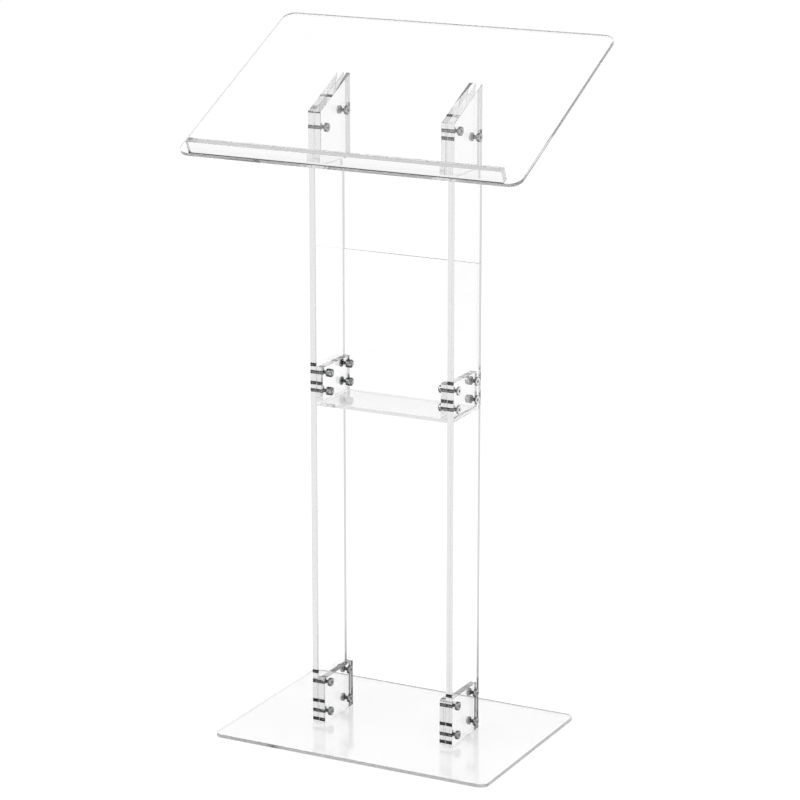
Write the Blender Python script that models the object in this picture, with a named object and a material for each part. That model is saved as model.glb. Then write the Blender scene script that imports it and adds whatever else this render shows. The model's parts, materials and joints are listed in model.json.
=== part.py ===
"""Clear acrylic presentation lectern.

A rectangular base plate carries two upright boards. Each board is bolted to
three acrylic tabs: one cemented to the base plate, one to the middle shelf and
one to the underside of the sloped reading plate. A thin panel closes the back
between the boards above the shelf, and a lip along the low edge of the reading
plate stops papers sliding off.

Metres, +Z up. The origin is the centre of the base plate's underside. Front is
-Y, where the speaker stands; the audience is at +Y. Left is -X.
"""
import math

import bmesh
import bpy
from mathutils import Matrix, Vector

# ------------------------------------------------------------ plates, boards
GAP = 0.0003              # working gap left at cemented and bolted faces
EDGE_BEVEL = 0.0006       # polished edge on every acrylic piece
BEVEL_ANGLE = math.radians(40)

BASE_WIDTH = 0.500        # across
BASE_DEPTH = 0.350        # front to back
BASE_THICKNESS = 0.006
BASE_CORNER = 0.015       # corner radius seen from above

BOARD_THICKNESS = 0.0115
BOARD_DEPTH = 0.100       # front to back
BOARD_OUTER = 0.130       # centre plane to a board's outer face
BOARD_INNER = BOARD_OUTER - BOARD_THICKNESS
BOARD_FRONT = -BOARD_DEPTH / 2
BOARD_BACK = BOARD_DEPTH / 2
BOARD_BOTTOM = BASE_THICKNESS + GAP

SHELF_BOTTOM = 0.556
SHELF_THICKNESS = 0.006
SHELF_TOP = SHELF_BOTTOM + SHELF_THICKNESS

PANEL_THICKNESS = 0.006
PANEL_FRONT = BOARD_BACK - PANEL_THICKNESS
PANEL_TOP = 0.799

TAB_INNER = 0.107         # centre plane to a tab's inner face
TAB_OUTER = BOARD_INNER - GAP
BASE_TAB_TOP = 0.085
SHELF_TAB_TOP = 0.621
TOP_TAB_BOTTOM = 0.952

SLOPE = math.radians(26.0)
READING_WIDTH = 0.600     # across
READING_DEPTH = 0.405     # along the slope
READING_THICKNESS = 0.006
READING_CORNER = 0.020
READING_FRONT_Y = -0.1786   # low front edge of the plate's top face
READING_FRONT_Z = 0.98135

LIP_WIDTH = 0.551
LIP_THICKNESS = 0.012
LIP_HEIGHT = 0.022        # top of the lip above the plate's top face

CORNER_STEPS = 6          # segments in each rounded plate corner

# --------------------------------------------------------------- bolt places
BOLT_ROWS = {"front": -0.034, "back": 0.034}                      # y
BASE_BOLT_Z = {"left": (0.0225, 0.0740), "right": (0.0218, 0.0724)}   # low, high
SHELF_BOLT_Z = {"left": (0.5785, 0.6093), "right": (0.5762, 0.6070)}  # low, high
TOP_BOLT_Z = {"left": {"front": 1.0107, "back": 1.0280},
              "right": {"front": 1.0238, "back": 1.0030}}

# ------------------------------------------------------------ bolts and nuts
SHANK_RADIUS = 0.0030
TIP_CHAMFER = 0.0006
BORE_RADIUS = SHANK_RADIUS + GAP
BORE_OVERRUN = 0.0020     # bore cutters pass each face by this much

HEAD_RADIUS = 0.0073
HEAD_THICKNESS = 0.0050
SHELF_HEAD_THICKNESS = 0.0022
HEAD_CHAMFER_RADIAL = 0.0012
HEAD_CHAMFER_AXIAL = 0.0010   # upper limit
HEAD_CHAMFER_SHARE = 0.3      # limit as a share of the head's thickness

SOCKET_ACROSS_FLATS = 0.0040
SOCKET_DEPTH = 0.0022

FLAT_NUT_RADIUS = 0.0068
FLAT_NUT_THICKNESS = 0.0034
FLAT_NUT_WALL = 0.0010    # closed end, beyond the bore
FLAT_NUT_CHAMFER_AXIAL = 0.0008
FLAT_NUT_CHAMFER_RADIAL = 0.0010

DOMED_NUT_RADIUS = 0.0070
DOMED_NUT_THICKNESS = 0.0105
DOMED_NUT_WALL = 0.0030
DOMED_NUT_STRAIGHT = 0.0070   # straight side wall before the dome
DOME_STEPS = 3

SEAT_SPAN = BOARD_OUTER - TAB_INNER + 2 * GAP   # head seat to nut seat
ROUND_SEGMENTS = 16       # facets round a bolt, a nut or a bore
SHARP_ANGLE = math.radians(32)


# ----------------------------------------------------------------- materials
def principled(name, color, **inputs):
    """Principled material; an input's spaces are underscores in its keyword."""
    material = bpy.data.materials.new(name)
    material.use_nodes = True
    shader = material.node_tree.nodes["Principled BSDF"]
    shader.inputs["Base Color"].default_value = (*color, 1.0)
    for key, value in inputs.items():
        shader.inputs[key.replace("_", " ")].default_value = value
    return material


def clear_acrylic():
    return principled("clear_acrylic", color=(0.96, 0.98, 0.98), Roughness=0.02,
                      Metallic=0.0, Transmission_Weight=1.0, IOR=1.49)


def chromed_steel():
    return principled("chromed_steel", color=(0.62, 0.63, 0.65), Roughness=0.12,
                      Metallic=1.0, Transmission_Weight=0.0, IOR=1.45)


# ------------------------------------------------------------------- helpers
def clear_scene():
    for obj in list(bpy.data.objects):
        bpy.data.objects.remove(obj, do_unlink=True)


def finish_mesh(bm, name, smooth=False):
    bmesh.ops.remove_doubles(bm, verts=bm.verts, dist=1e-7)
    bmesh.ops.recalc_face_normals(bm, faces=bm.faces)
    mesh = bpy.data.meshes.new(name)
    bm.to_mesh(mesh)
    bm.free()
    if smooth:
        mesh.shade_smooth()
        mesh.set_sharp_from_angle(angle=SHARP_ANGLE)
    return mesh


def add_object(name, mesh, parent=None, material=None, location=(0, 0, 0),
               rotation=(0, 0, 0)):
    """Link a new object to the scene; without a mesh it is an empty."""
    obj = bpy.data.objects.new(name, mesh)
    bpy.context.scene.collection.objects.link(obj)
    obj.location = location
    obj.rotation_euler = rotation
    obj.parent = parent
    if material is not None:
        mesh.materials.append(material)
    return obj


def extruded_mesh(name, outline, direction):
    """A closed solid: the outline's face swept along `direction`."""
    bm = bmesh.new()
    face = bm.faces.new([bm.verts.new(point) for point in outline])
    swept = bmesh.ops.extrude_face_region(bm, geom=[face])
    moved = [item for item in swept["geom"] if isinstance(item, bmesh.types.BMVert)]
    bmesh.ops.translate(bm, verts=moved, vec=Vector(direction))
    return finish_mesh(bm, name)


def turned_mesh(name, profile):
    """Spin an (x, radius) profile once round the X axis."""
    bm = bmesh.new()
    verts = [bm.verts.new((x, 0.0, radius)) for x, radius in profile]
    edges = [bm.edges.new(pair) for pair in zip(verts, verts[1:])]
    bmesh.ops.spin(bm, geom=verts + edges, cent=(0, 0, 0), axis=(1, 0, 0),
                   dvec=(0, 0, 0), angle=2 * math.pi, steps=ROUND_SEGMENTS,
                   use_merge=True, use_duplicate=False)
    bmesh.ops.remove_doubles(bm, verts=bm.verts, dist=1e-6)
    return finish_mesh(bm, name, smooth=True)


def add_x_cylinder(bm, centre, radius, depth, segments):
    """Add a capped cylinder or prism along X."""
    bmesh.ops.create_cone(
        bm, cap_ends=True, segments=segments, radius1=radius, radius2=radius,
        depth=depth,
        matrix=Matrix.Translation(centre) @ Matrix.Rotation(math.radians(90), 4, 'Y'))


def bevel_edges(obj):
    bevel = obj.modifiers.new("polished_edge", 'BEVEL')
    bevel.width = EDGE_BEVEL
    bevel.segments = 1
    bevel.limit_method = 'ANGLE'
    bevel.angle_limit = BEVEL_ANGLE


def cut(obj, modifier_name, cutter_mesh):
    """Subtract a hidden cutter that shares the object's placement."""
    cutter = add_object("cut_" + obj.name, cutter_mesh, obj.parent,
                        location=obj.location, rotation=obj.rotation_euler)
    cutter.hide_render = True
    cutter.display_type = 'WIRE'
    boolean = obj.modifiers.new(modifier_name, 'BOOLEAN')
    boolean.operation = 'DIFFERENCE'
    boolean.solver = 'EXACT'
    boolean.object = cutter


# ------------------------------------------------------------ acrylic pieces
def rounded_plate(name, width, depth, corner, rise, parent, material,
                  location=(0, 0, 0)):
    """A flat plate with rounded corners, extruded from z=0 by `rise`."""
    outline = []
    for side_x, side_y, start in ((1, -1, -90), (1, 1, 0), (-1, 1, 90), (-1, -1, 180)):
        for i in range(CORNER_STEPS + 1):
            angle = math.radians(start + 90.0 * i / CORNER_STEPS)
            outline.append((side_x * (width / 2 - corner) + corner * math.cos(angle),
                            side_y * (depth / 2 - corner) + corner * math.sin(angle),
                            0.0))
    mesh = extruded_mesh(name, outline, (0, 0, rise))
    bevel_edges(add_object(name, mesh, parent, material, location))


def slab(name, x_range, y_range, bottom, tops, parent, material):
    """A straight-sided piece; `tops` are its front and back top heights."""
    x0, x1 = x_range
    y0, y1 = y_range
    front_top, back_top = tops
    outline = [(x0, y0, bottom), (x0, y1, bottom), (x0, y1, back_top),
               (x0, y0, front_top)]
    mesh = extruded_mesh(name, outline, (x1 - x0, 0, 0))
    obj = add_object(name, mesh, parent, material)
    bevel_edges(obj)
    return obj


def drill(obj, x_range, spots):
    """Bore right through along X at each (y, z) spot."""
    bm = bmesh.new()
    centre_x = sum(x_range) / 2
    depth = x_range[1] - x_range[0] + 2 * BORE_OVERRUN
    for y, z in spots:
        add_x_cylinder(bm, (centre_x, y, z), BORE_RADIUS, depth, ROUND_SEGMENTS)
    cut(obj, "bolt_bores", finish_mesh(bm, "cut_" + obj.name))


def under_reading_plate(y):
    """Height one gap below the reading plate's underside at depth y."""
    return (READING_FRONT_Z + (y - READING_FRONT_Y) * math.tan(SLOPE)
            - (READING_THICKNESS + GAP) / math.cos(SLOPE))


def build_reading_plate(root, acrylic):
    """The plate and its lip, modelled flat in the slope's own frame."""
    slope = add_object("reading_slope", None, root,
                       location=(0, READING_FRONT_Y, READING_FRONT_Z),
                       rotation=(SLOPE, 0, 0))
    rounded_plate("reading_plate", READING_WIDTH, READING_DEPTH, READING_CORNER,
                  -READING_THICKNESS, slope, acrylic, (0, READING_DEPTH / 2, 0))
    slab("paper_lip", (-LIP_WIDTH / 2, LIP_WIDTH / 2), (0, LIP_THICKNESS), GAP,
         (LIP_HEIGHT, LIP_HEIGHT), slope, acrylic)


def build_shelf_and_panel(root, acrylic):
    x_range = (-TAB_OUTER, TAB_OUTER)
    slab("shelf_plate", x_range, (BOARD_FRONT, BOARD_BACK), SHELF_BOTTOM,
         (SHELF_TOP, SHELF_TOP), root, acrylic)
    slab("back_panel", x_range, (PANEL_FRONT, BOARD_BACK), SHELF_TOP + GAP,
         (PANEL_TOP, PANEL_TOP), root, acrylic)


def build_post_and_tabs(side, sign, bolts, root, acrylic):
    """One upright board and its three tabs, bored for their bolts."""
    board_x = sorted((sign * BOARD_INNER, sign * BOARD_OUTER))
    tab_x = sorted((sign * TAB_INNER, sign * TAB_OUTER))
    full_y = (BOARD_FRONT, BOARD_BACK)
    before_panel_y = (BOARD_FRONT, PANEL_FRONT - GAP)
    sloping = (under_reading_plate(BOARD_FRONT), under_reading_plate(BOARD_BACK))
    # name, x range, y range, bottom, (front, back) tops, bolt groups
    pieces = (
        ("post_", board_x, full_y, BOARD_BOTTOM, sloping, ("base", "shelf", "top")),
        ("base_tab_", tab_x, full_y, BOARD_BOTTOM, (BASE_TAB_TOP, BASE_TAB_TOP),
         ("base",)),
        ("shelf_tab_", tab_x, before_panel_y, SHELF_TOP + GAP,
         (SHELF_TAB_TOP, SHELF_TAB_TOP), ("shelf",)),
        ("top_tab_", tab_x, full_y, TOP_TAB_BOTTOM, sloping, ("top",)),
    )
    for name, x_range, y_range, bottom, tops, groups in pieces:
        piece = slab(name + side, x_range, y_range, bottom, tops, root, acrylic)
        drill(piece, x_range, [spot for group in groups for spot in bolts[group].values()])


# ------------------------------------------------------------ bolts and nuts
def bolt_spots(side):
    """The (y, z) bolt centres on one side, by group and then by name."""
    def pairs(heights):
        return {f"{row}_{level}": (y, z) for row, y in BOLT_ROWS.items()
                for level, z in zip(("low", "high"), heights)}

    return {"base": pairs(BASE_BOLT_Z[side]),
            "shelf": pairs(SHELF_BOLT_Z[side]),
            "top": {row: (y, TOP_BOLT_Z[side][row]) for row, y in BOLT_ROWS.items()}}


def bolt_mesh(name, nut_bore, head_thickness):
    """The head's seat is at x=0; the shank runs to -X, one gap short of the
    nut bore's end."""
    tip = -(SEAT_SPAN + nut_bore - GAP)
    chamfer = min(HEAD_CHAMFER_AXIAL, head_thickness * HEAD_CHAMFER_SHARE)
    return turned_mesh(name, [
        (tip, 0.0),
        (tip, SHANK_RADIUS - TIP_CHAMFER),
        (tip + TIP_CHAMFER, SHANK_RADIUS),
        (0.0, SHANK_RADIUS),
        (0.0, HEAD_RADIUS),
        (head_thickness - chamfer, HEAD_RADIUS),
        (head_thickness, HEAD_RADIUS - HEAD_CHAMFER_RADIAL),
        (head_thickness, 0.0)])


def socket_mesh(name, head_thickness):
    """Hexagonal cutter centred on the head's outer face."""
    bm = bmesh.new()
    add_x_cylinder(bm, (head_thickness, 0, 0), SOCKET_ACROSS_FLATS / math.sqrt(3.0),
                   SOCKET_DEPTH * 2, segments=6)
    return finish_mesh(bm, name)


def nut_mesh(name, radius, thickness, bore, shoulder):
    """Blind round nut: its seat is at x=0 and it closes towards -X.
    `shoulder` is the profile from the side wall to the closed end."""
    return turned_mesh(name, [(-bore, 0.0), (-bore, BORE_RADIUS), (0.0, BORE_RADIUS),
                              (0.0, radius), *shoulder, (-thickness, 0.0)])


def flat_fastener_meshes():
    """Bolt, socket cutter and flat nut for the base and top tabs."""
    bore = FLAT_NUT_THICKNESS - FLAT_NUT_WALL
    shoulder = [(-(FLAT_NUT_THICKNESS - FLAT_NUT_CHAMFER_AXIAL), FLAT_NUT_RADIUS),
                (-FLAT_NUT_THICKNESS, FLAT_NUT_RADIUS - FLAT_NUT_CHAMFER_RADIAL)]
    return (bolt_mesh("bolt_short", bore, HEAD_THICKNESS),
            socket_mesh("socket_short", HEAD_THICKNESS),
            nut_mesh("nut_flat", FLAT_NUT_RADIUS, FLAT_NUT_THICKNESS, bore, shoulder))


def domed_fastener_meshes():
    """Thin-headed bolt, socket cutter and domed nut for the shelf tabs."""
    bore = DOMED_NUT_THICKNESS - DOMED_NUT_WALL
    dome_height = DOMED_NUT_THICKNESS - DOMED_NUT_STRAIGHT
    shoulder = []
    for i in range(DOME_STEPS):
        angle = math.radians(90.0 * i / DOME_STEPS)
        shoulder.append((-DOMED_NUT_STRAIGHT - dome_height * math.sin(angle),
                         DOMED_NUT_RADIUS * math.cos(angle)))
    return (bolt_mesh("bolt_long", bore, SHELF_HEAD_THICKNESS),
            socket_mesh("socket_long", SHELF_HEAD_THICKNESS),
            nut_mesh("nut_domed", DOMED_NUT_RADIUS, DOMED_NUT_THICKNESS, bore, shoulder))


def add_fastener(tag, meshes, clamped_x, toward, y, z, root, chrome):
    """`clamped_x` is the face under the head; `toward` (+1 or -1) is the X
    direction in which the head stands off it."""
    bolt_data, socket, nut_data = meshes
    turn = (0, 0, 0) if toward > 0 else (0, 0, math.pi)
    bolt = add_object("bolt_" + tag, bolt_data.copy(), root, chrome,
                      (clamped_x + toward * GAP, y, z), turn)
    cut(bolt, "hex_socket", socket)
    add_object("nut_" + tag, nut_data.copy(), root, chrome,
               (clamped_x + toward * (GAP - SEAT_SPAN), y, z), turn)


def build_fasteners(side, sign, bolts, flat, domed, root, chrome):
    """Shelf bolt heads stand on the outer faces, all others face +X."""
    outer = sign * BOARD_OUTER
    plus_face = max(outer, sign * TAB_INNER)
    placing = {"base": (flat, plus_face, 1),
               "shelf": (domed, outer, sign),
               "top": (flat, plus_face, 1)}
    for group, (meshes, clamped_x, toward) in placing.items():
        for spot, (y, z) in bolts[group].items():
            add_fastener(f"{group}_{side}_{spot}", meshes, clamped_x, toward, y, z,
                         root, chrome)


# --------------------------------------------------------------------- build
def build():
    clear_scene()
    acrylic = clear_acrylic()
    chrome = chromed_steel()
    root = add_object("lectern", None)

    rounded_plate("base_plate", BASE_WIDTH, BASE_DEPTH, BASE_CORNER, BASE_THICKNESS,
                  root, acrylic)
    build_reading_plate(root, acrylic)
    build_shelf_and_panel(root, acrylic)

    flat = flat_fastener_meshes()
    domed = domed_fastener_meshes()
    for side, sign in (("left", -1), ("right", 1)):
        bolts = bolt_spots(side)
        build_post_and_tabs(side, sign, bolts, root, acrylic)
        build_fasteners(side, sign, bolts, flat, domed, root, chrome)

    bpy.context.view_layer.update()


build()
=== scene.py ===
"""Looks of the clear acrylic lectern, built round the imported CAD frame.

Every piece takes its place from the frame's nodes. The acrylic boards and
plates are rebuilt with polished, rounded edges and round bores, and joined by
cement lines; the fasteners are turned parts with threads and hexagon sockets.
"""

import json
import math

import bmesh
import bpy
from mathutils import Matrix, Vector


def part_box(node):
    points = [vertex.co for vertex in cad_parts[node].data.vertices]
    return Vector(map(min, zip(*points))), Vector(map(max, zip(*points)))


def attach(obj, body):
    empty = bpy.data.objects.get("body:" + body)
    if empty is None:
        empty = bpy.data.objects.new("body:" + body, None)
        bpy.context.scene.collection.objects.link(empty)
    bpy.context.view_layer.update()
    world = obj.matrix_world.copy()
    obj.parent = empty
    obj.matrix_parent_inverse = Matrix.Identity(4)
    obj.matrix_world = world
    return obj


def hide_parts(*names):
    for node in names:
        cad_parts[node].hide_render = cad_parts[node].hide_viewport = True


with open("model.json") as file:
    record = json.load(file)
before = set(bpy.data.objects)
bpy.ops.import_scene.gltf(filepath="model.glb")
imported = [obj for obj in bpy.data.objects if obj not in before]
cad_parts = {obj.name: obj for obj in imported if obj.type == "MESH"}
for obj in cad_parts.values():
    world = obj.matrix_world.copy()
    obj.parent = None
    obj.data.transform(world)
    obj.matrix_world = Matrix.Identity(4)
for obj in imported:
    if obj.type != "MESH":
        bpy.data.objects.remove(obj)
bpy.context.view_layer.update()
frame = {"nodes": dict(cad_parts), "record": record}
NODES = frame["nodes"]
RECORD = frame["record"]
IOR = 1.49
WORLD_LOW, WORLD_SPAN = 0.03, 0.95
LIP_LINE = 0.0, 0.0018     # dark band along the lip's foot, low and high


# --------------------------------------------------------------- frame sizes
def span(node, axis):
    lo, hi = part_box(node)
    return float(lo[axis]), float(hi[axis])


def mount(name):
    for m in RECORD["mounts"]:
        if m["name"] == name:
            return m
    raise KeyError(name)


surface = mount("reading_surface")
SLOPE = math.atan2(-surface["axis"][1], surface["axis"][2])
ALONG = Vector((0, math.cos(SLOPE), math.sin(SLOPE)))
NORMAL = Vector((0, -math.sin(SLOPE), math.cos(SLOPE)))
CENTRE = Vector(surface["pos_m"])
SLOPE_FRAME = Matrix.Translation(CENTRE) @ Matrix.Rotation(SLOPE, 4, 'X')


def slope_span(node):
    """Lowest and highest corner of a node in the reading plate's own frame,
    whose origin is the centre of the plate's top face."""
    inv = SLOPE_FRAME.inverted()
    pts = [inv @ v.co for v in NODES[node].data.vertices]
    return (tuple(min(p[i] for p in pts) for i in range(3)),
            tuple(max(p[i] for p in pts) for i in range(3)))


def top_heights(node):
    """Heights of a board's top at its front and back faces, extended to the
    sharp corners that its eased edges cut off."""
    (_, y0, _), (_, y1, _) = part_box(node)
    verts = [v.co for v in NODES[node].data.vertices]
    top = max(v.z for v in verts)
    if top - max(v.z for v in verts if v.y < y0 + 0.002) < 0.004:
        return top, top
    # a sloping top follows the underside of the reading plate
    lo, _ = slope_span("reading_plate")
    under = CENTRE + NORMAL * lo[2]
    return tuple(under.z + (y - under.y) * math.tan(SLOPE) for y in (y0, y1))


# ------------------------------------------------------------- node helpers
class Tree:
    """Short hand for building a shader tree."""

    def __init__(self, name):
        self.mat = bpy.data.materials.new(name)
        self.mat.use_nodes = True
        self.tree = self.mat.node_tree
        self.tree.nodes.clear()
        self.out = self.tree.nodes.new("ShaderNodeOutputMaterial")

    def node(self, kind, **settings):
        n = self.tree.nodes.new(kind)
        for key, value in settings.items():
            setattr(n, key, value)
        return n

    def link(self, a, b):
        self.tree.links.new(a, b)

    def put(self, socket, value):
        if isinstance(value, bpy.types.NodeSocket):
            self.link(value, socket)
        elif value is not None:
            socket.default_value = value

    def math(self, op, a, b=None, c=None, clamp=False):
        n = self.node("ShaderNodeMath", operation=op, use_clamp=clamp)
        self.put(n.inputs[0], a)
        self.put(n.inputs[1], b)
        self.put(n.inputs[2], c)
        return n.outputs[0]

    def noise(self, vector, scale, detail=2.0, rough=0.5, distortion=0.0):
        n = self.node("ShaderNodeTexNoise")
        self.put(n.inputs["Vector"], vector)
        n.inputs["Scale"].default_value = scale
        n.inputs["Detail"].default_value = detail
        n.inputs["Roughness"].default_value = rough
        n.inputs["Distortion"].default_value = distortion
        return n.outputs["Fac"]

    def ramp(self, fac, stops):
        n = self.node("ShaderNodeValToRGB")
        while len(n.color_ramp.elements) < len(stops):
            n.color_ramp.elements.new(0.5)
        for e, (pos, value) in zip(n.color_ramp.elements, stops):
            e.position = pos
            e.color = (value, value, value, 1.0) if isinstance(
                value, float) else (*value, 1.0)
        self.link(fac, n.inputs[0])
        return n.outputs["Color"]

    def span(self, value, lo, hi, to_lo=0.0, to_hi=1.0):
        n = self.node("ShaderNodeMapRange")
        n.clamp = True
        self.put(n.inputs["Value"], value)
        for key, v in (("From Min", lo), ("From Max", hi),
                       ("To Min", to_lo), ("To Max", to_hi)):
            n.inputs[key].default_value = v
        return n.outputs["Result"]

    def stretch(self, vector, scale, turn=(0, 0, 0)):
        n = self.node("ShaderNodeMapping")
        self.put(n.inputs["Vector"], vector)
        n.inputs["Scale"].default_value = scale
        n.inputs["Rotation"].default_value = turn
        return n.outputs["Vector"]

    def bump(self, height, distance, strength=1.0, normal=None):
        n = self.node("ShaderNodeBump")
        n.inputs["Strength"].default_value = strength
        n.inputs["Distance"].default_value = distance
        self.put(n.inputs["Height"], height)
        self.put(n.inputs["Normal"], normal)
        return n.outputs["Normal"]


# ---------------------------------------------------------------- materials
def acrylic(name, tint=(1.0, 1.0, 1.0), density=1.6,
            absorb=(0.985, 1.0, 0.995), shift=(0.0, 0.0, 0.0), scuff=0.0):
    """Clear cast acrylic: sawn, flame-polished edges, faint sheet ripple,
    hairline wipes and a little haze, with light lost along the sheet."""
    t = Tree(name)
    coord = t.node("ShaderNodeTexCoord")
    pos = t.node("ShaderNodeMapping")
    t.link(coord.outputs["Object"], pos.inputs["Vector"])
    pos.inputs["Location"].default_value = shift
    p = pos.outputs["Vector"]

    edge = t.node("ShaderNodeAttribute", attribute_name="edge").outputs["Fac"]
    bond = t.node("ShaderNodeAttribute", attribute_name="bond").outputs["Fac"]
    line = t.node("ShaderNodeAttribute", attribute_name="line").outputs["Fac"]
    frost = t.node("ShaderNodeAttribute",
                   attribute_name="frost").outputs["Fac"]

    # broad faces: long soft ripple of the cast sheet
    ripple = t.noise(p, 9.0, 1.0, 0.4)
    # edges: draw lines that run along the cut, softened by the flame
    draw = t.noise(t.stretch(p, (260.0, 260.0, 14.0)), 1.0, 2.0, 0.55)
    height = t.math('ADD', t.math('MULTIPLY', ripple, 0.5),
                    t.math('MULTIPLY', t.math('MULTIPLY', draw, edge), 0.004))
    normal = t.bump(height, 0.0010, 0.55)

    # haze: finger-wiped patches, plus sparse hairline scratches
    smudge = t.span(t.noise(p, 14.0, 4.0, 0.6, 0.6), 0.56, 0.78)
    hair_a = t.noise(t.stretch(p, (18.0, 520.0, 60.0), (0.5, 0.3, 0.7)),
                     1.0, 3.0, 0.7)
    hair_b = t.noise(t.stretch(p, (640.0, 24.0, 70.0), (0.2, 0.9, 0.4)),
                     1.0, 3.0, 0.7)
    hair = t.math('MAXIMUM', t.span(hair_a, 0.74, 0.80),
                  t.span(hair_b, 0.75, 0.81))
    rough = t.math('ADD', t.math('MULTIPLY', t.math(
        'SUBTRACT', 1.0, edge), scuff), t.math('MULTIPLY', smudge, 0.012))
    rough = t.math('ADD', rough, t.math('MULTIPLY', hair, 0.05))
    rough = t.math('ADD', rough, t.math('MULTIPLY', edge, 0.006))

    # cement lines: the two faces are one body there, apart from tiny bubbles
    cells = t.node("ShaderNodeTexVoronoi", feature='F1')
    t.link(p, cells.inputs["Vector"])
    cells.inputs["Scale"].default_value = 420.0
    size = t.span(t.noise(p, 60.0, 2.0), 0.50, 0.75, 0.0, 0.34)
    bubble = t.math('LESS_THAN', cells.outputs["Distance"], size)
    solid = t.math('MULTIPLY', bond, t.math('SUBTRACT', 1.0, bubble))
    ior = t.math('ADD', IOR, t.math('MULTIPLY', solid, 1.0 - IOR))

    bsdf = t.node("ShaderNodeBsdfPrincipled")
    # the dark band and painted shade value darkens a face's colour towards black:
    # a thin dark band at the lip's foot, and painted shade on the lip's top, the
    # shelf's top and the top tabs' sloped wedge and edges
    shade = t.node("ShaderNodeMix", data_type='RGBA')
    t.put(shade.inputs["Factor"], line)
    shade.inputs["A"].default_value = (*tint, 1.0)
    shade.inputs["B"].default_value = (0.01, 0.0102, 0.0105, 1.0)
    t.link(shade.outputs["Result"], bsdf.inputs["Base Color"])
    # sawn edges that the flame has not fully cleared scatter some light
    t.put(bsdf.inputs["Transmission Weight"], t.math(
        'SUBTRACT', 1.0, t.math('MULTIPLY', frost, t.math(
            'ADD', 0.85, t.math('MULTIPLY', draw, 0.30)))))
    t.put(bsdf.inputs["IOR"], ior)
    t.put(bsdf.inputs["Roughness"],
          t.math('MULTIPLY', rough, t.math('SUBTRACT', 1.0, bond)))
    t.put(bsdf.inputs["Normal"], normal)
    t.link(bsdf.outputs[0], t.out.inputs["Surface"])

    fog = t.node("ShaderNodeVolumeAbsorption")
    fog.inputs["Color"].default_value = (*(c * 0.5 for c in absorb), 1.0)
    fog.inputs["Density"].default_value = density * 2.0
    t.link(fog.outputs[0], t.out.inputs["Volume"])
    return t.mat


def chrome(name, end):
    """Chromed, turned steel. The end faces are lathe-ringed, and their reflection
    is painted in as a flat level of base colour, given as end. The sides and
    shanks carry a painted highlight: bright down the middle where they face the
    eye, falling to black at their outline. Rims carry a faint painted glint, and
    recesses are darkened."""
    t = Tree(name)
    coord = t.node("ShaderNodeTexCoord")
    obj = coord.outputs["Object"]
    sep = t.node("ShaderNodeSeparateXYZ")
    t.link(obj, sep.inputs[0])
    x, y, z = sep.outputs
    facing = t.node("ShaderNodeSeparateXYZ")
    t.link(coord.outputs["Normal"], facing.inputs[0])
    on_end = t.span(t.math('ABSOLUTE', facing.outputs[0]), 0.90, 0.99)
    radius = t.math('SQRT', t.math('ADD', t.math('MULTIPLY', y, y),
                                   t.math('MULTIPLY', z, z)))
    on_shank = t.span(radius, 0.0030, 0.0034, 1.0, 0.0)
    # lathe rings: concentric on the end faces, girdling the sides
    rings = t.node("ShaderNodeTexNoise", noise_dimensions='2D')
    pair = t.node("ShaderNodeCombineXYZ")
    t.put(pair.inputs[0], t.math('MULTIPLY', radius, 9000.0))
    t.put(pair.inputs[1], t.math('MULTIPLY', x, 7000.0))
    t.link(pair.outputs[0], rings.inputs["Vector"])
    rings.inputs["Scale"].default_value = 1.0
    rings.inputs["Detail"].default_value = 2.0
    on_side = t.math('MULTIPLY', t.math('SUBTRACT', 1.0, on_end),
                     t.math('SUBTRACT', 1.0, on_shank))
    haze = t.noise(obj, 420.0, 3.0, 0.6)
    normal = t.bump(rings.outputs["Fac"], 0.00002, 0.35)
    normal = t.bump(haze, 0.00006, 0.12, normal)

    point = t.node("ShaderNodeNewGeometry").outputs["Pointiness"]
    rim = t.math('MULTIPLY', t.span(point, 0.53, 0.62), on_end)
    pit = t.span(point, 0.40, 0.48, 1.0, 0.0)
    face = t.node("ShaderNodeLayerWeight")
    face.inputs["Blend"].default_value = 0.5
    # painted highlight: the base colour is bright where the surface faces the eye
    # and falls to black towards the outline
    painted_highlight = t.ramp(face.outputs["Facing"],
                 [(0.06, 0.64), (0.20, 0.27), (0.40, 0.06), (0.80, 0.02)])
    # painted reflection: the end faces take the flat level given as end
    level = t.math('ADD', t.math('MULTIPLY', painted_highlight,
                                 t.math('SUBTRACT', 1.0, on_end)),
                   t.math('MULTIPLY', on_end, end))
    level = t.math('MULTIPLY', level, t.math(
        'ADD', 0.84, t.math('MULTIPLY', haze, 0.30)))
    # painted glint: a little brightness added on the end faces' rims
    level = t.math('ADD', level, t.math('MULTIPLY', rim, 0.05))
    level = t.math('MULTIPLY', level, t.math(
        'SUBTRACT', 1.0, t.math('MULTIPLY', pit, 0.6)))
    # seats pressed against the acrylic are dark
    seat = t.math('LESS_THAN', t.math('ABSOLUTE', x), 0.00025)
    level = t.math('MULTIPLY', level, t.math(
        'SUBTRACT', 1.0, t.math('MULTIPLY', t.math('MULTIPLY', seat, on_end),
                                0.80)))
    color = t.node("ShaderNodeCombineColor")
    t.put(color.inputs[0], level)
    t.put(color.inputs[1], t.math('MULTIPLY', level, 1.008))
    t.put(color.inputs[2], t.math('MULTIPLY', level, 1.03))

    rough = t.math('ADD', t.math('ADD', 0.05, t.math('MULTIPLY', haze, 0.08)),
                   t.math('MULTIPLY', on_side, 0.04))
    bsdf = t.node("ShaderNodeBsdfPrincipled")
    t.link(color.outputs[0], bsdf.inputs["Base Color"])
    bsdf.inputs["Metallic"].default_value = 0.55
    t.put(bsdf.inputs["Roughness"], rough)
    t.put(bsdf.inputs["Normal"], normal)
    t.link(bsdf.outputs[0], t.out.inputs["Surface"])
    return t.mat


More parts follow.
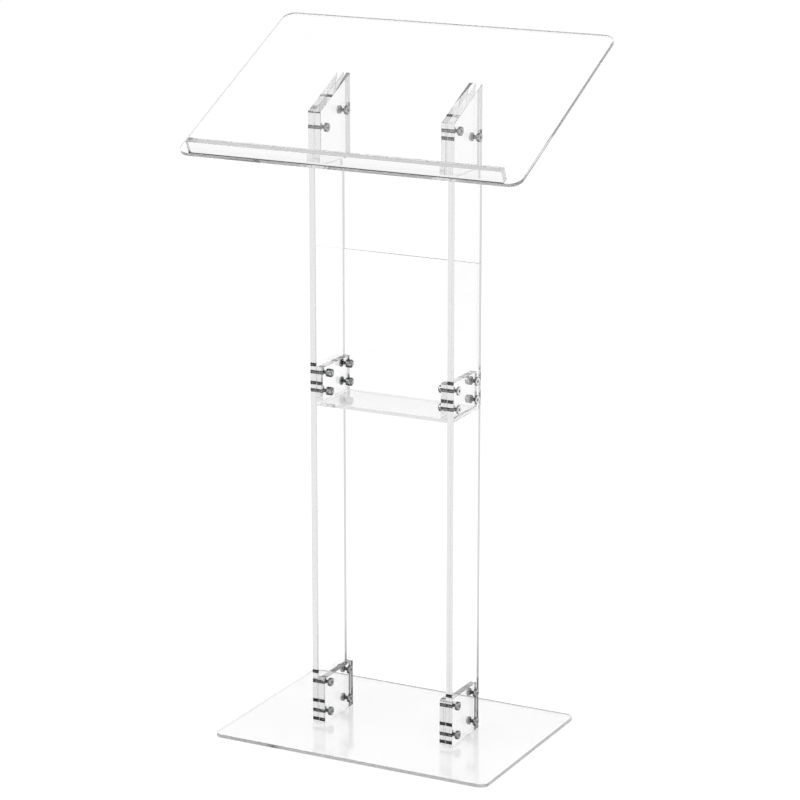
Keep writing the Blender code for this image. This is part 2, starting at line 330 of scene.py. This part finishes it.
# ------------------------------------------------------------ acrylic bodies
def prism(outline, sweep):
    """A closed solid: an outline swept along a vector, as a new bmesh."""
    bm = bmesh.new()
    face = bm.faces.new([bm.verts.new(p) for p in outline])
    bm.normal_update()
    swept = bmesh.ops.extrude_face_region(bm, geom=[face])
    bmesh.ops.translate(bm, vec=Vector(sweep), verts=[
        g for g in swept["geom"] if isinstance(g, bmesh.types.BMVert)])
    bmesh.ops.recalc_face_normals(bm, faces=bm.faces)
    return bm


def round_rect(x0, x1, y0, y1, radius, steps=18):
    pts = []
    for cx, cy, a0 in ((x1 - radius, y0 + radius, -90),
                       (x1 - radius, y1 - radius, 0),
                       (x0 + radius, y1 - radius, 90),
                       (x0 + radius, y0 + radius, 180)):
        for i in range(steps + 1):
            a = math.radians(a0 + 90.0 * i / steps)
            pts.append((cx + radius * math.cos(a),
                        cy + radius * math.sin(a), 0.0))
    return pts


def polish_edges(bm, width, keep_sharp=None):
    """Rounds every hard edge, apart from those keep_sharp picks."""
    edges = []
    for e in bm.edges:
        if len(e.link_faces) != 2 or e.calc_face_angle(0.0) < math.radians(25):
            continue
        if keep_sharp and keep_sharp(e):
            continue
        edges.append(e)
    bmesh.ops.bevel(bm, geom=edges, offset=width, segments=3, profile=0.5,
                    affect='EDGES', offset_type='OFFSET', clamp_overlap=True)


def cut_patch(bm, is_face, planes):
    """Splits the picked faces along planes given as (point, normal)."""
    for co, no in planes:
        faces = [f for f in bm.faces if is_face(f)]
        geom = list({v for f in faces for v in f.verts}) + \
            list({e for f in faces for e in f.edges}) + faces
        bmesh.ops.bisect_plane(bm, geom=geom, dist=1e-7, plane_co=co,
                               plane_no=no)


def to_object(name, bm, mat):
    mesh = bpy.data.meshes.new(name)
    bm.to_mesh(mesh)
    bm.free()
    mesh.materials.append(mat)
    obj = bpy.data.objects.new(name, mesh)
    bpy.context.scene.collection.objects.link(obj)
    return obj


def bore(obj, spots, radius, x0, x1, steps=40):
    """Drills round holes along X, as part of the mesh."""
    if not spots:
        return
    bm = bmesh.new()
    for y, z in spots:
        bmesh.ops.create_cone(
            bm, cap_ends=True, segments=steps, radius1=radius, radius2=radius,
            depth=x1 - x0, matrix=Matrix.Translation(((x0 + x1) / 2, y, z))
            @ Matrix.Rotation(math.radians(90), 4, 'Y'))
    cutter = to_object("cutter", bm, obj.data.materials[0])
    mod = obj.modifiers.new("bores", 'BOOLEAN')
    mod.operation = 'DIFFERENCE'
    mod.solver = 'EXACT'
    mod.object = cutter
    bpy.context.view_layer.update()
    deps = bpy.context.evaluated_depsgraph_get()
    mesh = bpy.data.meshes.new_from_object(obj.evaluated_get(deps))
    obj.modifiers.clear()
    old = obj.data
    obj.data = mesh
    mesh.name = obj.name
    bpy.data.meshes.remove(old)
    bpy.data.objects.remove(cutter)


def finish_acrylic(obj, broad, bonds=(), lines=(), frosts=()):
    """Marks edges and cement patches, and gives rounded edges normals that
    run smoothly from one flat face to the next.

    broad: the direction across the sheet, whose faces are the polished ones.
    bonds: tests (centre, normal) that pick faces cemented to another piece.
    lines: tests that give how far a face's colour is darkened, for a dark band
    or for painted shade.
    frosts: tests that give how much light a sawn edge scatters.
    """
    mesh = obj.data
    across = Vector(broad)
    flat, bond_of, edge_of, dark_band_and_shade_of, frost_of = [], [], [], [], []
    for f in mesh.polygons:
        n = f.normal
        big = f.area > 4e-6 and max(
            abs(n.x), abs(n.y), abs(n.z), abs(n.dot(NORMAL)),
            abs(n.dot(ALONG))) > 0.9999
        flat.append(big)
        edge_of.append(0.0 if abs(n.dot(across)) > 0.9 else 1.0)
        bond_of.append(1.0 if any(b(f.center, n) for b in bonds) else 0.0)
        dark_band_and_shade_of.append(float(max((g(f.center, n) for g in lines),
                                 default=0.0)))
        frost_of.append(float(max((g(f.center, n) for g in frosts),
                                  default=0.0)))
    # corner normals: flat faces keep theirs, round ones meet them
    touch = [[] for _ in mesh.vertices]
    for f, big in zip(mesh.polygons, flat):
        for v in f.vertices:
            touch[v].append((f.normal.copy(), big))
    normals = []
    for f, big in zip(mesh.polygons, flat):
        for v in f.vertices:
            if big:
                normals.append(f.normal.copy())
                continue
            near = [(n, b) for n, b in touch[v] if n.dot(f.normal) > 0.80]
            flats = [n for n, b in near if b]
            use = flats or [n for n, _ in near]
            total = Vector((0, 0, 0))
            for n in use:
                total += n
            normals.append(total.normalized() if total.length > 1e-6
                           else f.normal.copy())
    for f in mesh.polygons:
        f.use_smooth = True
    for name, values in (("bond", bond_of), ("edge", edge_of),
                         ("line", dark_band_and_shade_of), ("frost", frost_of)):
        att = mesh.attributes.new(name, 'FLOAT', 'FACE')
        att.data.foreach_set("value", values)
    mesh.normals_split_custom_set([tuple(n) for n in normals])
    return obj


# ---------------------------------------------------------------- fasteners
TURN = 48


def loft(rings):
    """Closed turned body from rings of TURN points: each ring is
    (x, radius at angle), and a None radius closes it with one centre point."""
    bm = bmesh.new()
    last = None
    for x, radius in rings:
        if radius is None:
            centre = bm.verts.new((x, 0, 0))
            ring = [centre] * TURN
        else:
            ring = []
            for k in range(TURN):
                a = 2 * math.pi * k / TURN
                r = radius(a) if callable(radius) else radius
                ring.append(bm.verts.new((x if not isinstance(x, tuple)
                                          else x[0] + x[1] * a,
                                          r * math.cos(a), r * math.sin(a))))
        if last is not None:
            for k in range(TURN):
                j = (k + 1) % TURN
                quad = []
                for v in (last[k], last[j], ring[j], ring[k]):
                    if v not in quad:
                        quad.append(v)
                if len(quad) >= 3:
                    bm.faces.new(quad)
        last = ring
    bmesh.ops.recalc_face_normals(bm, faces=bm.faces)
    return bm


def smooth_mesh(bm, name, mat, angle=38):
    mesh = bpy.data.meshes.new(name)
    bm.to_mesh(mesh)
    bm.free()
    mesh.materials.append(mat)
    mesh.shade_smooth()
    mesh.set_sharp_from_angle(angle=math.radians(angle))
    return mesh


def fillet(x, r, size, steps=4, inward=1):
    """Rings that round a rim from the side at (x - size, r) to the end face
    at (x, r - size)."""
    return [(x - size + size * math.sin(math.radians(90 * i / steps)),
             r - size + size * math.cos(math.radians(90 * i / steps)))
            for i in range(steps + 1)]


def bolt_mesh(name, tip, head_t, shank_r, head_r, mat, across=0.0040,
              deep=0.0022, pitch=0.0010):
    """Socket-head screw with its seat at x=0 and its thread to -X."""
    def hexagon(af):
        return lambda a: (af / 2) / math.cos(
            (a % (math.pi / 3)) - math.pi / 6)

    rings = [(tip, None)]
    root = shank_r - 0.00010
    rings += [(tip, root - 0.0002), (tip + 0.0003, root)]
    # thread: each ring's radius follows the helix
    per = 6
    count = int((-0.0012 - (tip + 0.0006)) / pitch * per)
    for i in range(count + 1):
        x = tip + 0.0006 + i * pitch / per

        def helix(a, x=x):
            phase = (x / pitch - a / (2 * math.pi)) % 1.0
            tooth = 1.0 - abs(2.0 * phase - 1.0)
            return root + (shank_r - root) * min(1.0, max(
                0.0, (tooth - 0.12) * 1.45))
        rings.append((x, helix))
    rings += [(-0.0009, shank_r - 0.0001), (-0.0003, shank_r - 0.0001),
              (0.0, shank_r), (0.0, head_r - 0.0004)]
    rings += [(0.0002, head_r - 0.0001), (0.0004, head_r)]
    rings += fillet(head_t, head_r, 0.0009)
    mouth = across * 1.22
    rings += [(head_t, hexagon(mouth)), (head_t - 0.00035, hexagon(across)),
              (head_t - deep, hexagon(across * 0.995)),
              (head_t - deep - 0.0005, 0.0006), (head_t - deep - 0.0006, None)]
    return smooth_mesh(loft(rings), name, mat)


def nut_mesh(name, thick, radius, bore_r, bore_deep, mat, domed):
    """Blind round nut with its seat at x=0, closed towards -X."""
    rings = [(-bore_deep - 0.0004, None), (-bore_deep, bore_r - 0.0002),
             (-bore_deep + 0.0002, bore_r), (-0.0003, bore_r),
             (0.0, bore_r + 0.0003), (0.0, radius - 0.0004),
             (-0.0001, radius - 0.0001), (-0.0004, radius)]
    if domed:
        straight = thick / 1.5
        for i in range(0, 9):
            a = math.radians(90.0 * i / 9)
            rings.append((-straight - (thick - straight) * math.sin(a),
                          radius * math.cos(a) ** 0.8))
        rings.append((-thick, None))
    else:
        rings += [(-x, r) for x, r in fillet(thick, radius, 0.0007)]
        # slim driving recess: a shallow dish in the closed end
        rings += [(-thick, radius * 0.62), (-thick + 0.00025, radius * 0.56),
                  (-thick + 0.0003, None)]
    return smooth_mesh(loft(rings), name, mat)


# -------------------------------------------------------------------- build
def build_object():
    clear = {
        "base_acrylic": acrylic("base_acrylic", shift=(0.3, 0.1, 0.7),
                                scuff=0.11),
        "board_acrylic": acrylic("board_acrylic", shift=(1.1, 0.4, 0.2)),
        "tab_acrylic": acrylic("tab_acrylic", shift=(2.3, 1.7, 0.9)),
        "shelf_acrylic": acrylic("shelf_acrylic", shift=(3.1, 0.6, 1.8)),
        "reading_acrylic": acrylic("reading_acrylic", shift=(0.9, 2.2, 0.5)),
    }
    shelf_clear = acrylic("shelf_plate_acrylic", shift=(1.9, 1.2, 2.6),
                          scuff=0.10)
    # one chrome each, differing only in how bright the end faces' painted
    # reflection is set
    bolt_steel = chrome("bolt_steel", 0.32)
    bolt_steel_thin = chrome("bolt_steel_thin", 0.66)
    nut_steel = chrome("nut_steel", 0.45)
    seam = 0.00002          # how far apart two cemented faces are drawn

    def place(obj, node, slot_name):
        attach(obj, "root")
        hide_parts(node)

    # holes, from the bolts that pass through them
    holes = {}
    for n in NODES:
        if n.startswith("bolt_"):
            (_, y0, z0), (_, y1, z1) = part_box(n)
            _, zone, side = n.split("_")[:3]
            holes.setdefault((zone, side), []).append(
                ((y0 + y1) / 2, (z0 + z1) / 2))
    shank_r = 0.0030
    hole_r = 0.0026         # the threads bite the acrylic, with no air round them
    nut_bore = shank_r + 0.0003

    # base plate
    x0, x1 = span("base_plate", 0)
    y0, y1 = span("base_plate", 1)
    z0, base_top = span("base_plate", 2)
    bm = prism(round_rect(x0, x1, y0, y1, 0.015), (0, 0, base_top - z0))
    bmesh.ops.translate(bm, vec=(0, 0, z0), verts=bm.verts)
    polish_edges(bm, 0.0005)

    def top_face(f):
        return f.normal.z > 0.99 and f.calc_area() > 1e-5

    def on_patch(c, n, list_):
        return n.z > 0.9 and any(a < c.x < b and e < c.y < f
                                 for a, b, e, f in list_)
    obj = to_object("base_plate_clear", bm, clear["base_acrylic"])
    finish_acrylic(obj, (0, 0, 1), [], (),
                   [lambda c, n: 0.30 * max(0.0, n.x) if abs(n.z) < 0.9
                    else 0.0])
    place(obj, "base_plate", "base_acrylic")

    # reading plate and paper lip, built in the slope's own frame
    (rx0, ry0, rz0), (rx1, ry1, rz1) = slope_span("reading_plate")
    (lx0, ly0, lz0), (lx1, ly1, lz1) = slope_span("paper_lip")
    bm = prism(round_rect(rx0, rx1, ry0, ry1, 0.020, 22), (0, 0, rz0 - rz1))
    bmesh.ops.translate(bm, vec=(0, 0, rz1), verts=bm.verts)
    polish_edges(bm, 0.0005)
    tabs = []
    for side in ("left", "right"):
        a, b = span("top_tab_" + side, 0)
        inv = SLOPE_FRAME.inverted()
        c0, d0 = span("top_tab_" + side, 1)
        base = SLOPE_FRAME @ Vector((0, 0, rz0))
        c = (c0 - base.y) / math.cos(SLOPE)
        d = (d0 - base.y) / math.cos(SLOPE)
        tabs.append((a, b, c, d))
    bm.normal_update()
    for a, b, c, d in tabs:
        cut_patch(bm, lambda f: f.normal.z < -0.99 and f.calc_area() > 1e-5,
                  [((a, 0, 0), (1, 0, 0)), ((b, 0, 0), (1, 0, 0)),
                   ((0, c, 0), (0, 1, 0)), ((0, d, 0), (0, 1, 0))])
        bm.normal_update()
    bmesh.ops.transform(bm, matrix=SLOPE_FRAME, verts=bm.verts)
    bm.normal_update()
    inv = SLOPE_FRAME.inverted()

    def plate_bond(c, n):
        q = inv @ c
        if n.dot(NORMAL) < -0.9:
            return any(a < q.x < b and e < q.y < f for a, b, e, f in tabs)
        return False
    obj = to_object("reading_plate_clear", bm, clear["reading_acrylic"])
    finish_acrylic(
        obj, NORMAL, [plate_bond],
        [],
        [lambda c, n: max(0.18 * n.x, 0.14 * -n.dot(ALONG),
                          0.30 * n.dot(ALONG), 0.0)
         if abs(n.dot(NORMAL)) < 0.9 else 0.0])
    place(obj, "reading_plate", "reading_acrylic")

    # the lip's front face carries a thin dark band along its foot, and its top
    # face a little painted shade
    foot = rz1 + seam * 5
    bm = prism([(lx0, ly0, foot), (lx0, ly1, foot),
                (lx0, ly1, lz1), (lx0, ly0, lz1)], (lx1 - lx0, 0, 0))
    polish_edges(bm, 0.0005, lambda e: all(
        abs(v.co.z - foot) < 1e-6 for v in e.verts))
    lip_dark_band = tuple(foot + h for h in LIP_LINE)
    bm.normal_update()
    cut_patch(bm, lambda f: abs(f.normal.z) < 0.5,
              [((0, 0, h), (0, 0, 1)) for h in lip_dark_band])
    bmesh.ops.transform(bm, matrix=SLOPE_FRAME, verts=bm.verts)
    bm.normal_update()
    obj = to_object("paper_lip_clear", bm, clear["reading_acrylic"])
    finish_acrylic(obj, ALONG, [],
                   [lambda c, n: 1.0 if n.dot(ALONG) < -0.9
                    and lip_dark_band[0] < (inv @ c).z < lip_dark_band[1] else
                    0.14 if n.dot(NORMAL) > 0.9 else 0.0],
                   [lambda c, n: 0.45 * abs(n.x)])
    place(obj, "paper_lip", "reading_acrylic")

    # shelf and back panel
    reach = span("post_right", 0)[0] - seam   # the boards' inner faces
    sx0, sx1 = -reach, reach
    sy0, sy1 = span("shelf_plate", 1)
    sz0, shelf_top = span("shelf_plate", 2)
    bm = prism([(sx0, sy0, sz0), (sx0, sy1, sz0), (sx0, sy1, shelf_top),
                (sx0, sy0, shelf_top)], (sx1 - sx0, 0, 0))
    polish_edges(bm, 0.0005)
    px0, px1 = -reach, reach
    py0, py1 = span("back_panel", 1)
    _, pz1 = span("back_panel", 2)
    glued = [(px0, px1, py0, py1)]
    for side in ("left", "right"):
        a, b = span("shelf_tab_" + side, 0)
        c, d = span("shelf_tab_" + side, 1)
        glued.append((a, b, c, d))
    for a, b, c, d in glued:
        bm.normal_update()
        cut_patch(bm, top_face, [((a, 0, 0), (1, 0, 0)),
                                 ((b, 0, 0), (1, 0, 0)),
                                 ((0, c, 0), (0, 1, 0)),
                                 ((0, d, 0), (0, 1, 0))])
    obj = to_object("shelf_plate_clear", bm, shelf_clear)
    # painted shade: the shelf's top faces are darkened slightly
    finish_acrylic(obj, (0, 0, 1), [lambda c, n: on_patch(c, n, glued),
                                    lambda c, n: abs(n.x) > 0.99],
                   [lambda c, n: 0.07 if n.z > 0.9 else 0.0])
    place(obj, "shelf_plate", "shelf_acrylic")

    foot = shelf_top + seam
    bm = prism([(px0, py0, foot), (px0, py1, foot), (px0, py1, pz1),
                (px0, py0, pz1)], (px1 - px0, 0, 0))
    polish_edges(bm, 0.0005, lambda e: all(
        abs(v.co.z - foot) < 1e-6 for v in e.verts))
    obj = to_object("back_panel_clear", bm, clear["shelf_acrylic"])
    finish_acrylic(obj, (0, 1, 0), [lambda c, n: n.z < -0.9,
                                    lambda c, n: abs(n.x) > 0.99])
    place(obj, "back_panel", "shelf_acrylic")

    # uprights and tabs
    for side in ("left", "right"):
        for kind in ("post", "base_tab", "shelf_tab", "top_tab"):
            node = f"{kind}_{side}"
            x0, x1 = span(node, 0)
            y0, y1 = span(node, 1)
            z0, _ = span(node, 2)
            zf, zb = top_heights(node)
            sloped = abs(zb - zf) > 1e-4
            foot, cap = z0, 0.0
            if kind in ("base_tab", "post"):
                foot = base_top + seam * 5
            elif kind == "shelf_tab":
                foot = shelf_top + seam
            elif kind == "top_tab":
                cap = seam / math.cos(SLOPE)
            else:
                cap = 0.0003 / math.cos(SLOPE)
            bm = prism([(x0, y0, foot), (x0, y1, foot), (x0, y1, zb - cap),
                        (x0, y0, zf - cap)], (x1 - x0, 0, 0))

            def stay(e, kind=kind, foot=foot):
                if kind != "top_tab" and all(
                        abs(v.co.z - foot) < 1e-6 for v in e.verts):
                    return True     # feet are cut square
                if kind == "post" and any(
                        f.normal.dot(NORMAL) > 0.99 for f in e.link_faces) \
                        and any(f.normal.y < -0.99 for f in e.link_faces):
                    return True     # so is the low corner under the plate
                if kind == "top_tab":
                    return all(f.normal.dot(NORMAL) > 0.99 or
                               abs(f.normal.dot(NORMAL)) < 0.95
                               for f in e.link_faces) and any(
                        f.normal.dot(NORMAL) > 0.99 for f in e.link_faces)
                return False
            bm.normal_update()
            polish_edges(bm, 0.0005, stay)
            slot_name = "board_acrylic" if kind == "post" else "tab_acrylic"
            obj = to_object(node + "_clear", bm, clear[slot_name])
            if kind == "post":
                spots = (holes[("base", side)] + holes[("shelf", side)]
                         + holes[("top", side)])
            else:
                spots = holes[(kind.split("_")[0], side)]
            bore(obj, spots, hole_r, x0 - 0.002, x1 + 0.002)
            bonds, lines = [], []
            if kind == "shelf_tab":
                bonds.append(lambda c, n, foot=foot: n.z < -0.9
                             and abs(c.z - foot) < 1e-5)
            half = y0 + (y1 - y0) * 0.45
            inner = min(abs(x0), abs(x1)) + 0.0006
            if kind == "top_tab":
                bm = bmesh.new()
                bm.from_mesh(obj.data)
                bm.normal_update()
                near, wide = min(abs(x0), abs(x1)), 0.6 * (x1 - x0)
                hand = math.copysign(1.0, x0)
                # split the sloped top so the painted shade wedge has faces of its
                # own
                cut_patch(bm, lambda f: f.normal.dot(NORMAL) > 0.99,
                          [((0, half, 0), (0, 1, 0)),
                           ((hand * near, half, 0),
                            (y1 - half, -hand * wide, 0))])
                bm.to_mesh(obj.data)
                bm.free()
                bonds.append(lambda c, n: n.dot(NORMAL) > 0.99)
                # painted shade: a dark wedge on the inner, upper part of the
                # sloped top, and dark strips on the back rounded edges and on the
                # front inner edge
                lines += [
                    lambda c, n, half=half, near=near, wide=wide, y1=y1:
                    0.93 if n.dot(NORMAL) > 0.99 and c.y > half
                    and abs(c.x) < near + wide * (c.y - half) / (y1 - half)
                    else 0.0,
                    lambda c, n, y1=y1: 0.7 if c.y > y1 - 0.0006
                    and abs(n.y) < 0.97 and abs(n.z) < 0.3 else 0.0,
                    lambda c, n, inner=inner, y0=y0: 0.8
                    if c.y < y0 + 0.0006 and abs(c.x) < inner
                    and abs(n.z) < 0.3 else 0.0]
            finish_acrylic(obj, (1, 0, 0), bonds, lines)
            place(obj, node, slot_name)

    # fasteners
    shared = {}
    for n in sorted(NODES):
        if not n.startswith(("bolt_", "nut_")):
            continue
        kind, zone, side = n.split("_")[:3]
        (x0, y0, z0), (x1, y1, z1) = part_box(n)
        toward = 1 if zone != "shelf" or side == "right" else -1
        centre = (y0 + y1) / 2, (z0 + z1) / 2
        if kind == "bolt":
            head_r = (y1 - y0) / 2
            head_t = 0.0022 if zone == "shelf" else 0.0050
            seat = x1 - head_t if toward > 0 else x0 + head_t
            tip = -(x1 - x0 - head_t)
            key = (kind, zone == "shelf")
            if key not in shared:
                shared[key] = bolt_mesh(
                    "cap_screw_long" if zone == "shelf" else "cap_screw",
                    tip, head_t, shank_r, head_r,
                    bolt_steel_thin if zone == "shelf" else bolt_steel,
                    deep=min(0.0022, head_t))
            mat_slot, label = "bolt_steel", "screw"
        else:
            seat = x1 if toward > 0 else x0
            key = (kind, zone == "shelf")
            if key not in shared:
                thick = x1 - x0
                wall = 0.0030 if zone == "shelf" else 0.0010
                shared[key] = nut_mesh(
                    "cap_nut_domed" if zone == "shelf" else "cap_nut_flat",
                    thick, (y1 - y0) / 2, nut_bore, thick - wall,
                    nut_steel,
                    zone == "shelf")
            mat_slot, label = "nut_steel", "capnut"
        obj = bpy.data.objects.new(label + n[len(kind):], shared[key])
        bpy.context.scene.collection.objects.link(obj)
        obj.location = (seat, *centre)
        if toward < 0:
            obj.rotation_euler = (0, 0, math.pi)
        place(obj, n, mat_slot)


# -------------------------------------------------------------------- stage
def build_stage():
    """A pale sweep seen straight on or straight through the acrylic, and the
    studio's softer, uneven surroundings in whatever the object mirrors, with a
    painted shadow round the object's foot."""
    t = Tree("pale_floor")
    path = t.node("ShaderNodeLightPath")
    mirrored = t.math('MINIMUM', path.outputs["Glossy Depth"], 1.0)
    place = t.node("ShaderNodeSeparateXYZ")
    t.link(t.node("ShaderNodeNewGeometry").outputs["Position"],
           place.inputs[0])
    x, y, _ = place.outputs
    radius = t.math('SQRT', t.math('ADD', t.math('MULTIPLY', x, x),
                                   t.math('MULTIPLY', y, y)))
    # painted shadow: seen mirrored, the floor's glow is dimmer near the object's
    # foot, standing in for a contact shadow
    near = t.span(radius, 0.10, 0.50, 0.22, 0.68)
    ahead = t.node("ShaderNodeVectorTransform", vector_type='VECTOR',
                   convert_from='WORLD', convert_to='CAMERA')
    t.link(t.node("ShaderNodeNewGeometry").outputs["Incoming"],
           ahead.inputs[0])
    depth = t.node("ShaderNodeSeparateXYZ")
    t.link(ahead.outputs[0], depth.inputs[0])
    away = t.span(t.math('MULTIPLY', depth.outputs[2], -1.0),
                  0.15, 0.60, 0.0, 1.0)
    level = t.math('ADD', t.math('MULTIPLY', near,
                                 t.math('SUBTRACT', 1.0, away)), away)
    diff = t.node("ShaderNodeBsdfDiffuse")
    grain = t.noise(t.node("ShaderNodeTexCoord").outputs["Object"], 3.0, 2.0)
    t.link(t.ramp(grain, [(0.3, 0.29), (0.7, 0.31)]), diff.inputs["Color"])
    glow = t.node("ShaderNodeEmission")
    glow.inputs["Color"].default_value = (1, 1, 1, 1)
    # straight: glow plus the light it catches; mirrored: the level above
    t.put(glow.inputs["Strength"], t.math(
        'ADD', t.math('MULTIPLY', t.math('SUBTRACT', 1.0, mirrored), 0.71),
        t.math('MULTIPLY', mirrored, level)))
    mix = t.node("ShaderNodeMixShader")
    add = t.node("ShaderNodeAddShader")
    t.link(diff.outputs[0], add.inputs[0])
    t.link(glow.outputs[0], add.inputs[1])
    t.link(mirrored, mix.inputs[0])
    t.link(add.outputs[0], mix.inputs[1])
    t.link(glow.outputs[0], mix.inputs[2])
    t.link(mix.outputs[0], t.out.inputs["Surface"])
    t.mat.cycles.emission_sampling = 'NONE'
    bm = bmesh.new()
    bmesh.ops.create_grid(bm, x_segments=1, y_segments=1, size=40.0)
    bmesh.ops.translate(bm, vec=(0, 0, -0.0004), verts=bm.verts)
    floor = to_object("studio_floor", bm, t.mat)

    # sky: white to the eye; mirrored, it is white behind and overhead and
    # dims towards the speaker's side
    world = bpy.data.worlds.new("studio")
    bpy.context.scene.world = world
    world.use_nodes = True
    world.cycles.sampling_method = 'NONE'
    nt = world.node_tree
    nt.nodes.clear()
    out = nt.nodes.new("ShaderNodeOutputWorld")
    back = nt.nodes.new("ShaderNodeBackground")
    tex = nt.nodes.new("ShaderNodeTexCoord")
    sep = nt.nodes.new("ShaderNodeSeparateXYZ")
    nt.links.new(tex.outputs["Generated"], sep.inputs[0])
    wpath = nt.nodes.new("ShaderNodeLightPath")

    def m(op, a, b=0.0, c=None, clamp=False):
        n = nt.nodes.new("ShaderNodeMath")
        n.operation = op
        n.use_clamp = clamp
        for i, v in enumerate((a, b, c)):
            if isinstance(v, bpy.types.NodeSocket):
                nt.links.new(v, n.inputs[i])
            elif v is not None:
                n.inputs[i].default_value = v
        return n.outputs[0]
    turn = nt.nodes.new("ShaderNodeVectorTransform")
    turn.vector_type = 'VECTOR'
    turn.convert_from, turn.convert_to = 'WORLD', 'CAMERA'
    nt.links.new(tex.outputs["Generated"], turn.inputs[0])
    csep = nt.nodes.new("ShaderNodeSeparateXYZ")
    nt.links.new(turn.outputs[0], csep.inputs[0])
    lift = m('MULTIPLY', m('MAXIMUM', sep.outputs[2], 0.0), 0.35)
    away = m('ADD', csep.outputs[2], lift)
    ramp = m('MULTIPLY_ADD', away, 2.9, -0.29, clamp=True)
    level = m('MULTIPLY_ADD', ramp, WORLD_SPAN, WORLD_LOW)
    mir = m('MINIMUM', wpath.outputs["Glossy Depth"], 1.0)
    total = m('ADD', m('SUBTRACT', 1.0, mir), m('MULTIPLY', mir, level))
    nt.links.new(total, back.inputs["Strength"])
    back.inputs["Color"].default_value = (1.0, 1.0, 1.0, 1.0)
    nt.links.new(back.outputs[0], out.inputs["Surface"])

    def softbox(name, place, aim, size, power):
        lamp = bpy.data.lights.new(name, 'AREA')
        lamp.shape = 'RECTANGLE'
        lamp.size, lamp.size_y = size
        lamp.energy = power
        obj = bpy.data.objects.new(name, lamp)
        bpy.context.scene.collection.objects.link(obj)
        obj.location = place
        obj.rotation_euler = (Vector(aim) - Vector(place)).to_track_quat(
            '-Z', 'Y').to_euler()
        return obj
    softbox("key_softbox", (-2.6, -2.4, 3.2), (0, 0, 0.6), (1.6, 1.6), 90)
    softbox("rim_softbox", (2.8, 1.2, 2.6), (0, 0, 0.6), (0.8, 2.0), 40)

    cam = bpy.data.cameras.new("camera")
    cam.lens = 137.598
    cam.sensor_width = 36.0
    cam.clip_end = 200.0
    obj = bpy.data.objects.new("camera", cam)
    bpy.context.scene.collection.objects.link(obj)
    eye = Vector((2.1994, -4.2676, 1.8669))
    look = Vector((-0.44086, 0.85874, -0.26118)).normalized()
    obj.location = eye
    obj.rotation_euler = look.to_track_quat('-Z', 'Y').to_euler()
    bpy.context.scene.camera = obj

    scene = bpy.context.scene
    scene.view_settings.view_transform = 'Standard'
    scene.view_settings.look = 'None'
    scene.view_settings.exposure = 0.0
    scene.view_settings.gamma = 1.0
    scene.cycles.max_bounces = 160
    scene.cycles.transmission_bounces = 160
    scene.cycles.glossy_bounces = 160
    scene.cycles.transparent_max_bounces = 40
    scene.cycles.diffuse_bounces = 2
    scene.cycles.volume_bounces = 0
    scene.cycles.caustics_reflective = False
    scene.cycles.caustics_refractive = True
    scene.cycles.sample_clamp_indirect = 3.0
    scene.cycles.blur_glossy = 0.0


build_object()
build_stage()

bpy.context.view_layer.update()
